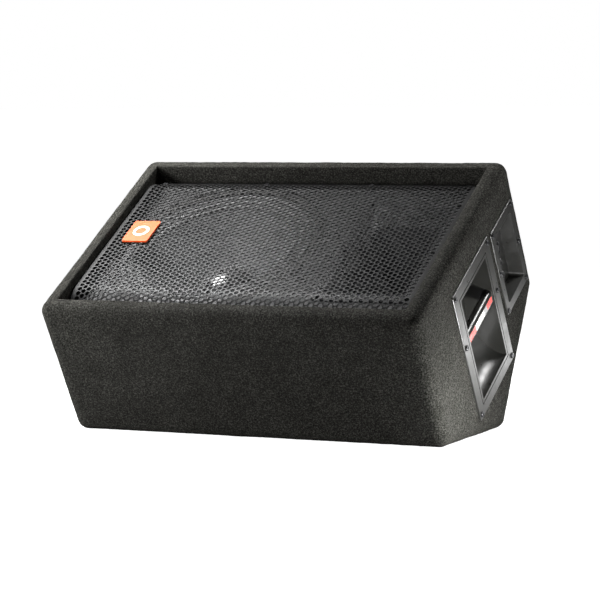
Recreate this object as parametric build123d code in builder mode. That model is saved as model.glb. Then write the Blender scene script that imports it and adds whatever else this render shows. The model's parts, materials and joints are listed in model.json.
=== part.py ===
"""Carpeted two-way stage monitor wedge: cabinet, grille, woofer, horn, crossover and end fittings.

Frame: millimetres, +X along the long side, +Z up, origin at the centre of the floor face.
Most pieces are drawn on the slanted rim plane or on planes parallel and square to it.  There,
"across" runs from the front edge of the baffle side to its rear edge, and "depth" runs square
to it, into the cabinet.
"""
from build123d import *
from math import acos, cos, pi, radians, sin, sqrt, tan
import os

# ---------------------------------------------------------------- driving dimensions
cabinet_width = 560.0
baffle_side = 384.0            # short side of the tilted face, front edge to rear edge
front_wall_depth = 206.5
floor_length = 216.7
floor_tilt = 30.45             # degrees between the floor and the tilted face
back_tilt = 29.0               # degrees between the back resting face and the tilted face

edge_radius = 16.0
carpet = 3.0
rim_lining = 2.5
board = 18.0
baffle_depth = 30.0            # from the rim plane to the front of the baffle board

woofer_x, woofer_across = -98.0, 197.0
woofer_rebate, woofer_rebate_gap = 6.0, 1.0
horn_x, horn_across = 165.0, 194.0

sheet = 1.5                    # grille steel
grille_margin = 3.0            # gap between grille and lined rim
grille_land_depth = 27.0
grille_crown_depth = 9.0
grille_shoulder = 40.0         # radius between the flat crown and the lands
grille_land = 10.0

plate_thickness = 5.0          # flanges of the two moulded cups on the right end
cup_wall = 3.0
handle_across, handle_depth = 186.0, 146.3
handle_size = (149.2, 202.5)
handle_mouth = (103.4, 161.2)
handle_cup_depth = 47.0
input_across, input_depth = 317.0, 118.3
input_size = (92.2, 134.3)
input_mouth = (69.0, 108.0)
input_cup_depth = 20.0

# ---------------------------------------------------------------- slanted reference planes
slope = radians(floor_tilt)
across_dir = Vector(0, cos(slope), sin(slope))
out_dir = Vector(0, -sin(slope), cos(slope))
rim_origin = Vector(0, -floor_length / 2, 0) + out_dir * front_wall_depth


def place(x, across, depth):
    """Cabinet point from its place along X, across the tilted face and below the rim plane."""
    return Vector(x, 0, 0) + rim_origin + across_dir * across - out_dir * depth


def facing_out(x, across, depth):
    """Plane parallel to the baffle, local axes (X, across)."""
    return Plane(origin=place(x, across, depth), x_dir=(1, 0, 0), z_dir=out_dir)


def side_section(x):
    """Plane square to X, local axes (across, minus depth)."""
    return Plane(origin=place(x, 0, 0), x_dir=across_dir, z_dir=(1, 0, 0))


def axial_section(x, across, depth):
    """Plane through a driver's axis, local axes (radius, height towards the listener)."""
    return Plane(origin=place(x, across, depth), x_dir=(1, 0, 0), z_dir=-across_dir)


def cross_section(x, across, depth):
    """Plane square to the across direction, local axes (minus depth, X)."""
    return Plane(origin=place(x, across, depth), x_dir=out_dir, z_dir=across_dir)


def save(piece, name):
    """Label a finished piece and write its STEP file."""
    piece.part.label = name
    export_step(piece.part, f"parts/{name}.step")


os.makedirs("parts", exist_ok=True)

# ---------------------------------------------------------------- cabinet outline
apex_across = floor_length * cos(slope)
apex_depth = front_wall_depth + floor_length * sin(slope)


def front_corner_depth(inset):
    """Depth where the inset front wall meets the inset floor."""
    return front_wall_depth + inset * tan(slope) - inset / cos(slope)


def rear_corner_depth(inset):
    """Depth where the inset rear wall meets the inset back face."""
    back = radians(back_tilt)
    run = baffle_side - inset - apex_across
    return apex_depth - run * tan(back) - inset / cos(back)


def apex_corner(inset):
    """Across position and depth where the inset floor meets the inset back face."""
    back = radians(back_tilt)
    half_turn = (slope + back) / 2
    lean = (slope - back) / 2
    reach = inset / cos(half_turn)
    return apex_across + reach * sin(lean), apex_depth - reach * cos(lean)


def outline(inset, top):
    """Corners of the inset cabinet section, with its open side at depth top."""
    apex = apex_corner(inset)
    return [(inset, -top), (inset, -front_corner_depth(inset)), (apex[0], -apex[1]),
            (baffle_side - inset, -rear_corner_depth(inset)), (baffle_side - inset, -top)]


def rounded_block(inset):
    """The whole wedge shrunk by inset on every face, with its edges rounded."""
    with BuildPart() as block:
        with BuildSketch(side_section(0)):
            with BuildLine():
                Polyline(*outline(inset, inset), close=True)
            make_face()
        extrude(amount=cabinet_width / 2 - inset, both=True)
        fillet(block.edges(), radius=edge_radius - inset)
    return block.part


outer_block = rounded_block(0)
wood_block = rounded_block(carpet)
wood_inner = carpet + board
inner_half_width = cabinet_width / 2 - wood_inner
end_face_x = cabinet_width / 2 - carpet
mouth_inset = wood_inner + rim_lining
mouth_half_width = cabinet_width / 2 - mouth_inset


# ---------------------------------------------------------------- cabinet boards
def wall_board(corner):
    """Long board between two neighbouring corners of the section, mitred to its neighbours."""
    outside, inside = outline(carpet, carpet), outline(wood_inner, carpet)
    with BuildPart() as wall:
        with BuildSketch(side_section(0)):
            with BuildLine():
                Polyline(outside[corner], outside[corner + 1], inside[corner + 1], inside[corner],
                         close=True)
            make_face()
        extrude(amount=inner_half_width, both=True)
        add(wood_block, mode=Mode.INTERSECT)
    return wall


for number, name in enumerate(["front_panel", "floor_panel", "back_panel", "rear_panel"]):
    save(wall_board(number), name)


# screws that hold the two cups to the right end board
screw_shank_radius = 2.0
screw_head_radius, screw_head_height = 4.0, 2.2
end_screw_length = 14.0
handle_bar_depth = 130.0
handle_screw_columns = (handle_across - 67.5, handle_across + 67.5)
handle_screw_rows = (handle_depth - 94, handle_bar_depth, handle_depth + 94)
handle_screw_spots = [(a, -d) for a in handle_screw_columns for d in handle_screw_rows]
input_screw_columns = (input_across - 41.2, input_across + 41.2)
input_screw_rows = (input_depth - 61.5, input_depth, input_depth + 61.5)
input_screw_spots = [(a, -d) for a in input_screw_columns for d in input_screw_rows]


def end_board(side):
    """Pentagonal board that closes the left (-1) or right (+1) end."""
    with BuildPart() as end:
        with BuildSketch(side_section(side * inner_half_width)):
            with BuildLine():
                Polyline(*outline(carpet, carpet), close=True)
            make_face()
        extrude(amount=side * board)
        add(wood_block, mode=Mode.INTERSECT)
        if side > 0:
            with BuildSketch(side_section(end_face_x)):
                with Locations((handle_across, -handle_depth)):
                    Rectangle(*[side_length + 2 * cup_wall + 1 for side_length in handle_mouth])
                with Locations((input_across, -input_depth)):
                    Rectangle(*[side_length + 2 * cup_wall + 1 for side_length in input_mouth])
            extrude(amount=-board, mode=Mode.SUBTRACT)
            with BuildSketch(side_section(end_face_x)):
                with Locations(*handle_screw_spots, *input_screw_spots):
                    Circle(screw_shank_radius)
            extrude(amount=-end_screw_length, mode=Mode.SUBTRACT)
    return end


save(end_board(-1), "end_panel_left")
save(end_board(1), "end_panel_right")

# fasteners that are screwed into the baffle board
hole_clearance = 0.2
woofer_screw_radius = 2.0
grille_screw_radius = 1.8
horn_screw_radius = 1.9
woofer_seat_depth = baffle_depth + woofer_rebate
woofer_frame_radius = 154.0
woofer_hole_radius = 143.0
woofer_screw_ring = 147.5
horn_flange = (144.0, 236.0)
horn_cutout = (126.0, 216.0)
horn_screw_edge = 7.0          # screw centres to the flange's edges
horn_screw_spots = [(sx * (horn_flange[0] / 2 - horn_screw_edge),
                     sy * (horn_flange[1] / 2 - horn_screw_edge))
                    for sx in (-1, 1) for sy in (-1, 0, 1)]
grille_half_width = mouth_half_width - grille_margin
grille_front = mouth_inset + grille_margin
grille_rear = baffle_side - mouth_inset - grille_margin
grille_screw_pitch = 164.0
grille_screw_rows = (grille_front + grille_land / 2, grille_rear - grille_land / 2)
board_across_middle = baffle_side / 2
board_across_size = baffle_side - 2 * wood_inner
grille_screw_spots = [(grille_screw_pitch * (i - 1.5), row - board_across_middle)
                      for i in range(4) for row in grille_screw_rows]
grille_screw_length = 11.0


def woofer_screw_cutter(radius):
    """Eight pins on the woofer's screw circle, used to open its screw holes."""
    with BuildPart() as pins:
        with BuildSketch(facing_out(woofer_x, woofer_across, woofer_seat_depth - 10)):
            with PolarLocations(woofer_screw_ring, 8, start_angle=22.5):
                Circle(radius)
        extrude(amount=-30)
    return pins.part


# baffle board with the woofer hole, its rebate, the horn cut-out and the pilot holes
with BuildPart() as baffle_board:
    with BuildSketch(facing_out(0, board_across_middle, baffle_depth)):
        Rectangle(2 * inner_half_width, board_across_size)
        with Locations((horn_x, horn_across - board_across_middle)):
            Rectangle(*horn_cutout, mode=Mode.SUBTRACT)
        with Locations((woofer_x, woofer_across - board_across_middle)):
            Circle(woofer_hole_radius, mode=Mode.SUBTRACT)
    extrude(amount=-board)
    with BuildSketch(facing_out(woofer_x, woofer_across, baffle_depth)):
        Circle(woofer_frame_radius + woofer_rebate_gap)
    extrude(amount=-woofer_rebate, mode=Mode.SUBTRACT)
    with BuildSketch(facing_out(0, board_across_middle, baffle_depth)):
        with Locations(*grille_screw_spots):
            Circle(grille_screw_radius)
        with Locations((horn_x, horn_across - board_across_middle)):
            with Locations(*horn_screw_spots):
                Circle(horn_screw_radius)
    extrude(amount=-grille_screw_length, mode=Mode.SUBTRACT)
    add(woofer_screw_cutter(woofer_screw_radius), mode=Mode.SUBTRACT)
save(baffle_board, "baffle_board")

# square battens glued behind the baffle along the two long walls
batten = 12.0
with BuildPart() as baffle_battens:
    with BuildSketch(facing_out(0, board_across_middle, baffle_depth + board)):
        with Locations((0, (board_across_size - batten) / 2), (0, -(board_across_size - batten) / 2)):
            Rectangle(2 * inner_half_width - 20, batten)
    extrude(amount=-batten)
save(baffle_battens, "baffle_battens")

# fibre wadding glued on the insides of the floor and back boards
wadding, wadding_end_gap = 20.0, 12.0
with BuildPart() as damping_wadding:
    glued = outline(wood_inner, carpet)
    free = outline(wood_inner + wadding, carpet)
    with BuildSketch(side_section(0)):
        with BuildLine():
            Polyline(glued[1], glued[2], glued[3], free[3], free[2], free[1], close=True)
        make_face()
    extrude(amount=inner_half_width - wadding_end_gap, both=True)
save(damping_wadding, "damping_wadding")


# ---------------------------------------------------------------- carpet
cap_seam_x = cabinet_width / 2 - edge_radius
fitting_gap = 0.5

with BuildPart() as carpet_skin:
    add(outer_block)
    add(wood_block, mode=Mode.SUBTRACT)
    with BuildSketch(facing_out(0, board_across_middle, -1)):
        Rectangle(2 * inner_half_width, board_across_size)
    extrude(amount=-carpet - 1, mode=Mode.SUBTRACT)
    with BuildSketch(facing_out(0, board_across_middle, baffle_depth)):
        Rectangle(2 * inner_half_width, board_across_size)
        Rectangle(2 * mouth_half_width, board_across_size - 2 * rim_lining, mode=Mode.SUBTRACT)
    extrude(amount=baffle_depth)

with BuildPart() as carpet_wrap:
    add(carpet_skin.part)
    with Locations((0, 0, 0)):
        Box(2 * cap_seam_x, 2000, 2000, mode=Mode.INTERSECT)
save(carpet_wrap, "carpet_wrap")

with BuildPart() as carpet_left_end:
    add(carpet_skin.part)
    with Locations((-cap_seam_x, 0, 0)):
        Box(100, 2000, 2000, align=(Align.MAX, Align.CENTER, Align.CENTER), mode=Mode.INTERSECT)
save(carpet_left_end, "carpet_left_end")

with BuildPart() as carpet_right_end:
    add(carpet_skin.part)
    with Locations((cap_seam_x, 0, 0)):
        Box(100, 2000, 2000, align=(Align.MIN, Align.CENTER, Align.CENTER), mode=Mode.INTERSECT)
    with BuildSketch(side_section(end_face_x)):
        with Locations((handle_across, -handle_depth)):
            Rectangle(handle_size[0] + 2 * fitting_gap, handle_size[1] + 2 * fitting_gap)
        with Locations((input_across, -input_depth)):
            Rectangle(input_size[0] + 2 * fitting_gap, input_size[1] + 2 * fitting_gap)
    extrude(amount=carpet + 1, mode=Mode.SUBTRACT)
save(carpet_right_end, "carpet_right_end")

# ---------------------------------------------------------------- grille
grille_foot = -baffle_depth


def grille_skin(offset):
    """Front edge, front and rear shoulder arcs and rear edge of the sheet, offset below its outer face."""
    land_rise = grille_shoulder + grille_crown_depth - grille_land_depth
    shoulder_run = sqrt(grille_shoulder ** 2 - land_rise ** 2)
    front_crown = grille_front + grille_land + shoulder_run
    rear_crown = grille_rear - grille_land - shoulder_run
    land, crown = -grille_land_depth - offset, -grille_crown_depth - offset
    radius = grille_shoulder - offset
    turn = acos((land_rise - offset) / radius)
    reach, middle, drop = radius * sin(turn), radius * sin(turn / 2), radius * (1 - cos(turn / 2))
    front_arc = (front_crown - reach, land), (front_crown - middle, crown - drop), (front_crown, crown)
    rear_arc = (rear_crown, crown), (rear_crown + middle, crown - drop), (rear_crown + reach, land)
    return (grille_front + offset, land), front_arc, rear_arc, (grille_rear - offset, land)


with BuildPart() as grille:
    outer_start, outer_front, outer_rear, outer_end = grille_skin(0)
    inner_start, inner_front, inner_rear, inner_end = grille_skin(sheet)
    with BuildSketch(side_section(0)):
        with BuildLine():
            Polyline((outer_start[0], grille_foot), outer_start, outer_front[0])
            ThreePointArc(*outer_front)
            Line(outer_front[2], outer_rear[0])
            ThreePointArc(*outer_rear)
            Polyline(outer_rear[2], outer_end, (outer_end[0], grille_foot), (inner_end[0], grille_foot),
                     inner_end, inner_rear[2])
            ThreePointArc(*inner_rear)
            Line(inner_rear[0], inner_front[2])
            ThreePointArc(*inner_front)
            Polyline(inner_front[0], inner_start, (inner_start[0], grille_foot),
                     (outer_start[0], grille_foot))
        make_face()
    extrude(amount=grille_half_width, both=True)
    for side in (-1, 1):
        with BuildSketch(side_section(side * grille_half_width)):
            with BuildLine():
                Polyline((outer_start[0], grille_foot), outer_start, outer_front[0])
                ThreePointArc(*outer_front)
                Line(outer_front[2], outer_rear[0])
                ThreePointArc(*outer_rear)
                Polyline(outer_rear[2], outer_end, (outer_end[0], grille_foot),
                         (outer_start[0], grille_foot))
            make_face()
        extrude(amount=-side * sheet)
    with BuildSketch(facing_out(0, board_across_middle, grille_land_depth)):
        with Locations(*grille_screw_spots):
            Circle(grille_screw_radius + hole_clearance / 2)
    extrude(amount=-sheet, mode=Mode.SUBTRACT)
save(grille, "grille")

grille_head_radius, grille_head_height = 3.9, 2.2
with BuildPart() as grille_screws:
    with BuildSketch(facing_out(0, board_across_middle, grille_land_depth)):
        with Locations(*grille_screw_spots):
            Circle(grille_head_radius)
    extrude(amount=grille_head_height)
    fillet(grille_screws.faces().filter_by(GeomType.PLANE).group_by(
        SortBy.AREA)[-1].edges().group_by(Axis(place(0, 0, 0), out_dir))[-1], radius=1.2)
    with BuildSketch(facing_out(0, board_across_middle, grille_land_depth)):
        with Locations(*grille_screw_spots):
            Circle(grille_screw_radius)
    extrude(amount=-(grille_screw_length + baffle_depth - grille_land_depth))
save(grille_screws, "grille_screws")

# plain badge on two short posts, with a ring as its generic mark
badge_x, badge_across = -209.0, 198.0
badge_size = (40.0, 50.0)
badge_gap, badge_thickness = 2.2, 2.4
badge_depth = grille_crown_depth - badge_gap - badge_thickness
mark_radius, mark_band, mark_recess = 12.0, 4.0, 0.8
badge_post_radius, badge_post_offset = 2.0, 14.0
with BuildPart() as badge_plate:
    with BuildSketch(facing_out(badge_x, badge_across, badge_depth)):
        RectangleRounded(*badge_size, radius=2)
    extrude(amount=-badge_thickness)
    with BuildSketch(facing_out(badge_x, badge_across, badge_depth)):
        Circle(mark_radius)
        Circle(mark_radius - mark_band, mode=Mode.SUBTRACT)
    extrude(amount=-mark_recess, mode=Mode.SUBTRACT)
save(badge_plate, "badge_plate")

with BuildPart() as badge_ring:
    with BuildSketch(facing_out(badge_x, badge_across, badge_depth + mark_recess)):
        Circle(mark_radius)
        Circle(mark_radius - mark_band, mode=Mode.SUBTRACT)
    extrude(amount=mark_recess + 0.3)
save(badge_ring, "badge_ring")

with BuildPart() as badge_posts:
    with BuildSketch(facing_out(badge_x, badge_across, badge_depth + badge_thickness)):
        with Locations((-badge_post_offset, 0), (badge_post_offset, 0)):
            Circle(badge_post_radius)
    extrude(amount=-badge_gap - 0.05)
save(badge_posts, "badge_posts")


# ---------------------------------------------------------------- woofer
woofer_axis = Axis(place(woofer_x, woofer_across, woofer_seat_depth), out_dir)


def woofer_turned(*corners):
    """Ring or disc turned about the woofer axis from (radius, height) corners."""
    with BuildPart() as turned:
        with BuildSketch(axial_section(woofer_x, woofer_across, woofer_seat_depth)):
            with BuildLine():
                Polyline(*corners, close=True)
            make_face()
        revolve(axis=woofer_axis)
    return turned


flange_top = 2.0
surround_clamp = 0.8
cone_outer_radius = 107.0
cone_edge_height = -1.0
cone_neck_radius, cone_neck_height = 32.6, -57.0
paper = 1.4
cap_radius, cap_base_height, cap_rise = 39.0, -50.0, 15.0
coil_inner_radius, coil_former = 31.4, 0.6
former_radius = coil_inner_radius + coil_former
winding_radius = former_radius + 0.9
spider_height, spider_outer_radius = -66.0, 66.0
basket_floor = -80.0
plate_height = 8.0
magnet_height = 18.0
top_plate_top = basket_floor - 2.5
magnet_top = top_plate_top - plate_height
yoke_top = magnet_top - magnet_height

# pressed steel basket with eight windows between its ribs
window_ring, window_size, window_top, window_height = 106.0, 46.0, 24.0, 42.0
with BuildPart() as woofer_basket:
    with BuildSketch(axial_section(woofer_x, woofer_across, woofer_seat_depth)):
        with BuildLine():
            Polyline((138.5, flange_top), (woofer_frame_radius, flange_top), (woofer_frame_radius, 0),
                     (141.5, 0), (139.5, -22), (76, -62), (69, spider_height - 1.5), (69, basket_floor),
                     (68, basket_floor - 2.5), (36, basket_floor - 2.5), (36, basket_floor),
                     (66.5, basket_floor), (66.5, spider_height - 4), (62, spider_height - 4),
                     (62, spider_height - 1.5), (67, spider_height - 1.5), (74, -60), (137, -20.5),
                     close=True)
        make_face()
    revolve(axis=woofer_axis)
    with BuildSketch(facing_out(woofer_x, woofer_across, woofer_seat_depth + window_top)):
        with PolarLocations(window_ring, 8, start_angle=22.5):
            RectangleRounded(window_size, window_size, radius=8)
    extrude(amount=-window_height, mode=Mode.SUBTRACT)
    add(woofer_screw_cutter(woofer_screw_radius + hole_clearance), mode=Mode.SUBTRACT)
save(woofer_basket, "woofer_basket")

gasket_top = flange_top + 3.3
gasket_outer, gasket_inner = 153.0, 141.0
with BuildPart() as woofer_gasket:
    with BuildSketch(facing_out(woofer_x, woofer_across, woofer_seat_depth - gasket_top)):
        Circle(gasket_outer)
        Circle(gasket_inner, mode=Mode.SUBTRACT)
    extrude(amount=-(gasket_top - flange_top - surround_clamp))
    add(woofer_screw_cutter(woofer_screw_radius + hole_clearance), mode=Mode.SUBTRACT)
save(woofer_gasket, "woofer_gasket")

# pleated cloth surround: a wavy annulus from the cone edge to the clamped flange
roll_count, roll_height = 3, 2.6
surround_inner = cone_outer_radius + 0.4
surround_outer = 139.0


def pleat(fraction, lift):
    """Point on the pleated surround, fraction 0 at the cone and 1 at the flange."""
    radius = surround_inner + fraction * (surround_outer - surround_inner)
    base = cone_edge_height + fraction * (flange_top - cone_edge_height)
    return radius, base + roll_height * abs(sin(pi * roll_count * fraction)) + lift


with BuildPart() as woofer_surround:
    with BuildSketch(axial_section(woofer_x, woofer_across, woofer_seat_depth)):
        with BuildLine():
            for roll in range(roll_count):
                start, middle, end = (roll / roll_count, (roll + 0.5) / roll_count,
                                      (roll + 1) / roll_count)
                ThreePointArc(pleat(start, surround_clamp), pleat(middle, surround_clamp),
                              pleat(end, surround_clamp))
                ThreePointArc(pleat(start, 0), pleat(middle, 0), pleat(end, 0))
            Line(pleat(0, 0), pleat(0, surround_clamp))
            Polyline(pleat(1, surround_clamp), (151, flange_top + surround_clamp), (151, flange_top),
                     pleat(1, 0))
        make_face()
    revolve(axis=woofer_axis)
    add(woofer_screw_cutter(woofer_screw_radius + hole_clearance), mode=Mode.SUBTRACT)
save(woofer_surround, "woofer_surround")

with BuildPart() as woofer_cone:
    with BuildSketch(axial_section(woofer_x, woofer_across, woofer_seat_depth)):
        with BuildLine():
            ThreePointArc((cone_outer_radius, cone_edge_height), (72, -28),
                          (cone_neck_radius, cone_neck_height))
            ThreePointArc((cone_outer_radius, cone_edge_height - paper), (72.6, -29.4),
                          (cone_neck_radius, cone_neck_height - 1.9))
            Line((cone_outer_radius, cone_edge_height), (cone_outer_radius, cone_edge_height - paper))
            Line((cone_neck_radius, cone_neck_height), (cone_neck_radius, cone_neck_height - 1.9))
        make_face()
    revolve(axis=woofer_axis)
save(woofer_cone, "woofer_cone")

cap_sphere = (cap_radius ** 2 + cap_rise ** 2) / (2 * cap_rise)
cap_sphere_height = cap_base_height + cap_rise - cap_sphere
cap_wall = 1.2
with BuildPart() as woofer_dust_cap:
    with BuildSketch(axial_section(woofer_x, woofer_across, woofer_seat_depth)):
        with Locations((0, cap_sphere_height)):
            Circle(cap_sphere)
            Circle(cap_sphere - cap_wall, mode=Mode.SUBTRACT)
        with Locations((0, cap_base_height)):
            Rectangle(cap_radius, cap_rise, align=(Align.MIN, Align.MIN), mode=Mode.INTERSECT)
    revolve(axis=woofer_axis)
save(woofer_dust_cap, "woofer_dust_cap")

save(woofer_turned((coil_inner_radius, cone_neck_height + 3), (former_radius, cone_neck_height + 3),
                   (former_radius, -93), (coil_inner_radius, -93)), "voice_coil_former")
save(woofer_turned((former_radius, -80), (winding_radius, -80), (winding_radius, -93),
                   (former_radius, -93)), "voice_coil_winding")

# corrugated spider, clamped on the basket's inner shelf
wave_count = 5
wave_height = 1.4
spider_inner = former_radius + 0.4
spider_wave_end = 60.0
cloth_top, cloth_bottom = 0.5, -0.3


def ripple(step, lift):
    """Point on the corrugated spider after a number of quarter waves."""
    radius = spider_inner + (spider_wave_end - spider_inner) * step / (4 * wave_count)
    return radius, spider_height + lift + wave_height * sin(step * pi / 2)


with BuildPart() as woofer_spider:
    with BuildSketch(axial_section(woofer_x, woofer_across, woofer_seat_depth)):
        with BuildLine():
            Spline(*[ripple(step, cloth_top) for step in range(4 * wave_count + 1)])
            Polyline(ripple(4 * wave_count, cloth_top), (spider_outer_radius, spider_height + cloth_top),
                     (spider_outer_radius, spider_height + cloth_bottom),
                     ripple(4 * wave_count, cloth_bottom))
            Spline(*[ripple(step, cloth_bottom) for step in range(4 * wave_count, -1, -1)])
            Line(ripple(0, cloth_bottom), ripple(0, cloth_top))
        make_face()
    revolve(axis=woofer_axis)
save(woofer_spider, "woofer_spider")

top_plate_bore, top_plate_radius = winding_radius + 0.7, 66.0
magnet_bore, magnet_radius = 42.0, 78.0
pole_bore, pole_radius, pole_top = 10.0, coil_inner_radius - 0.9, basket_floor + 1.5
back_plate_radius = 68.0
save(woofer_turned((top_plate_bore, top_plate_top), (top_plate_radius, top_plate_top),
                   (top_plate_radius, magnet_top), (top_plate_bore, magnet_top)), "woofer_top_plate")
save(woofer_turned((magnet_bore, magnet_top), (magnet_radius, magnet_top), (magnet_radius, yoke_top),
                   (magnet_bore, yoke_top)), "woofer_magnet")
save(woofer_turned((pole_bore, pole_top), (pole_radius, pole_top), (pole_radius, yoke_top),
                   (back_plate_radius, yoke_top), (back_plate_radius, yoke_top - plate_height),
                   (pole_bore, yoke_top - plate_height)), "woofer_yoke")

# eight pan-head screws round the woofer flange
woofer_head_radius, woofer_head_height, woofer_screw_length = 4.0, 2.0, 14.0
with BuildPart() as woofer_screws:
    head_plane = facing_out(woofer_x, woofer_across, woofer_seat_depth - gasket_top)
    with BuildSketch(head_plane):
        with PolarLocations(woofer_screw_ring, 8, start_angle=22.5):
            Circle(woofer_head_radius)
    extrude(amount=woofer_head_height)
    with BuildSketch(head_plane):
        with PolarLocations(woofer_screw_ring, 8, start_angle=22.5):
            Circle(woofer_screw_radius)
    extrude(amount=-woofer_screw_length)
save(woofer_screws, "woofer_screws")

# push-on terminal strip riveted to the basket
terminal_across = woofer_across + 79
terminal_depth, terminal_height, tab_offset = woofer_seat_depth + 73, 9.0, 7.0
with BuildPart() as woofer_terminals:
    with BuildSketch(facing_out(woofer_x, terminal_across, terminal_depth)):
        Rectangle(26, 6)
    extrude(amount=-terminal_height)
    with BuildSketch(facing_out(woofer_x, terminal_across, terminal_depth + terminal_height)):
        with Locations((-tab_offset, 0), (tab_offset, 0)):
            Rectangle(5, 0.8)
    extrude(amount=-terminal_height)
save(woofer_terminals, "woofer_terminals")

# ---------------------------------------------------------------- horn
horn_flange_depth = 27.0
horn_wall = 2.6
# half width, half length and depth below the flange face of the flare's sections
flare = [(58.5, 106, 0), (47, 79, 16), (35.5, 53, 38), (27.5, 33, 58), (13.5, 14, 80)]


def flare_solid(growth):
    """Ruled flare through its rectangular sections, each grown by the wall thickness."""
    with BuildPart() as flared:
        for half_width, half_length, drop in flare:
            with BuildSketch(facing_out(horn_x, horn_across, horn_flange_depth + drop)):
                Rectangle(2 * (half_width + growth), 2 * (half_length + growth))
        loft(ruled=True)
    return flared.part


throat_depth = horn_flange_depth + flare[-1][2]
throat_radius = 12.7
throat_flange_radius = 36.0
throat_bolt_ring, throat_bolt_radius = 29.0, 2.5

with BuildPart() as horn:
    add(flare_solid(horn_wall))
    with BuildSketch(facing_out(horn_x, horn_across, baffle_depth)):
        RectangleRounded(*horn_flange, radius=6)
    extrude(amount=baffle_depth - horn_flange_depth)
    with BuildSketch(facing_out(horn_x, horn_across, throat_depth + 4)):
        Circle(throat_flange_radius)
    extrude(amount=5)
    add(flare_solid(0), mode=Mode.SUBTRACT)
    with BuildSketch(facing_out(horn_x, horn_across, throat_depth - 2)):
        Circle(throat_radius)
    extrude(amount=-8, mode=Mode.SUBTRACT)
    with BuildSketch(facing_out(horn_x, horn_across, horn_flange_depth)):
        with Locations(*horn_screw_spots):
            Circle(horn_screw_radius + hole_clearance)
    extrude(amount=-4, mode=Mode.SUBTRACT)
    with BuildSketch(facing_out(horn_x, horn_across, throat_depth - 1)):
        with PolarLocations(throat_bolt_ring, 4):
            Circle(throat_bolt_radius + 0.1)
    extrude(amount=-6, mode=Mode.SUBTRACT)
save(horn, "horn")

horn_head_radius, horn_head_height = 3.8, 2.0
with BuildPart() as horn_screws:
    with BuildSketch(facing_out(horn_x, horn_across, horn_flange_depth)):
        with Locations(*horn_screw_spots):
            Circle(horn_head_radius)
    extrude(amount=horn_head_height)
    with BuildSketch(facing_out(horn_x, horn_across, horn_flange_depth)):
        with Locations(*horn_screw_spots):
            Circle(horn_screw_radius)
    extrude(amount=-(grille_screw_length + baffle_depth - horn_flange_depth))
save(horn_screws, "horn_screws")

# ---------------------------------------------------------------- compression driver
driver_depth = throat_depth + 4
driver_axis = Axis(place(horn_x, horn_across, driver_depth), out_dir)


def driver_turned(*corners):
    """Ring or disc turned about the compression driver's axis from (radius, height) corners."""
    with BuildPart() as turned:
        with BuildSketch(axial_section(horn_x, horn_across, driver_depth)):
            with BuildLine():
                Polyline(*corners, close=True)
            make_face()
        revolve(axis=driver_axis)
    return turned


with BuildPart() as driver_pole_plate:
    add(driver_turned((throat_radius, 0), (44, 0), (44, -6), (22, -6), (22, -27.5), (17.5, -27.5)).part)
    with BuildSketch(facing_out(horn_x, horn_across, driver_depth)):
        with PolarLocations(throat_bolt_ring, 4):
            Circle(throat_bolt_radius)
    extrude(amount=-5, mode=Mode.SUBTRACT)
save(driver_pole_plate, "driver_pole_plate")
save(driver_turned((27, -6), (48, -6), (48, -21), (27, -21)), "driver_magnet")
save(driver_turned((23.3, -21), (46, -21), (46, -27), (23.3, -27)), "driver_top_plate")
save(driver_turned((30.5, -27), (42, -27), (42, -30), (30.5, -30)), "diaphragm_clamp_ring")

# bullet-shaped phase plug held by three thin fins in the throat
with BuildPart() as phase_plug:
    with BuildSketch(axial_section(horn_x, horn_across, driver_depth)):
        with BuildLine():
            Polyline((0, -27), (12, -27), (9, -16), (0, -3), close=True)
        make_face()
    revolve(axis=driver_axis)
    with BuildSketch(facing_out(horn_x, horn_across, driver_depth + 22)):
        with PolarLocations(8, 3):
            Rectangle(16, 1.6)
        Circle(5, mode=Mode.SUBTRACT)
    extrude(amount=-4)
    with BuildSketch(axial_section(horn_x, horn_across, driver_depth)):
        with BuildLine():
            Polyline((0, 0), (throat_radius, 0), (17.5, -27.5), (0, -27.5), close=True)
        make_face()
    revolve(axis=driver_axis, mode=Mode.INTERSECT)
save(phase_plug, "phase_plug")

# domed diaphragm with its flat edge and voice coil former
dome_radius, dome_rise, dome_base = 22.85, 8.0, -29.4
dome_sphere = (dome_radius ** 2 + dome_rise ** 2) / (2 * dome_rise)
with BuildPart() as driver_diaphragm:
    with BuildSketch(axial_section(horn_x, horn_across, driver_depth)):
        with Locations((0, dome_base - dome_rise + dome_sphere)):
            Circle(dome_sphere)
            Circle(dome_sphere - 0.6, mode=Mode.SUBTRACT)
        with Locations((0, dome_base)):
            Rectangle(dome_radius, dome_rise, align=(Align.MIN, Align.MAX), mode=Mode.INTERSECT)
        with Locations((dome_radius - 0.4, dome_base)):
            Rectangle(0.4, 6.4, align=(Align.MIN, Align.MIN))
            Rectangle(7.3, 0.6, align=(Align.MIN, Align.MIN))
    revolve(axis=driver_axis)
save(driver_diaphragm, "driver_diaphragm")

with BuildPart() as driver_rear_cover:
    with BuildSketch(axial_section(horn_x, horn_across, driver_depth)):
        with BuildLine():
            Polyline((0, -54), (36, -54), (44, -46), (44, -27), (42, -27), (42, -45), (35, -52),
                     (0, -52), close=True)
        make_face()
    revolve(axis=driver_axis)
save(driver_rear_cover, "driver_rear_cover")

with BuildPart() as driver_bolts:
    with BuildSketch(facing_out(horn_x, horn_across, throat_depth - 1)):
        with PolarLocations(throat_bolt_ring, 4):
            RegularPolygon(4.4, 6)
    extrude(amount=3.5)
    with BuildSketch(facing_out(horn_x, horn_across, throat_depth - 1)):
        with PolarLocations(throat_bolt_ring, 4):
            Circle(throat_bolt_radius)
    extrude(amount=-9)
save(driver_bolts, "driver_bolts")

# ---------------------------------------------------------------- handle on the right end
plate_face_x = end_face_x + plate_thickness
groove_gap, groove_width, groove_depth = 4.0, 1.6, 1.2


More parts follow.
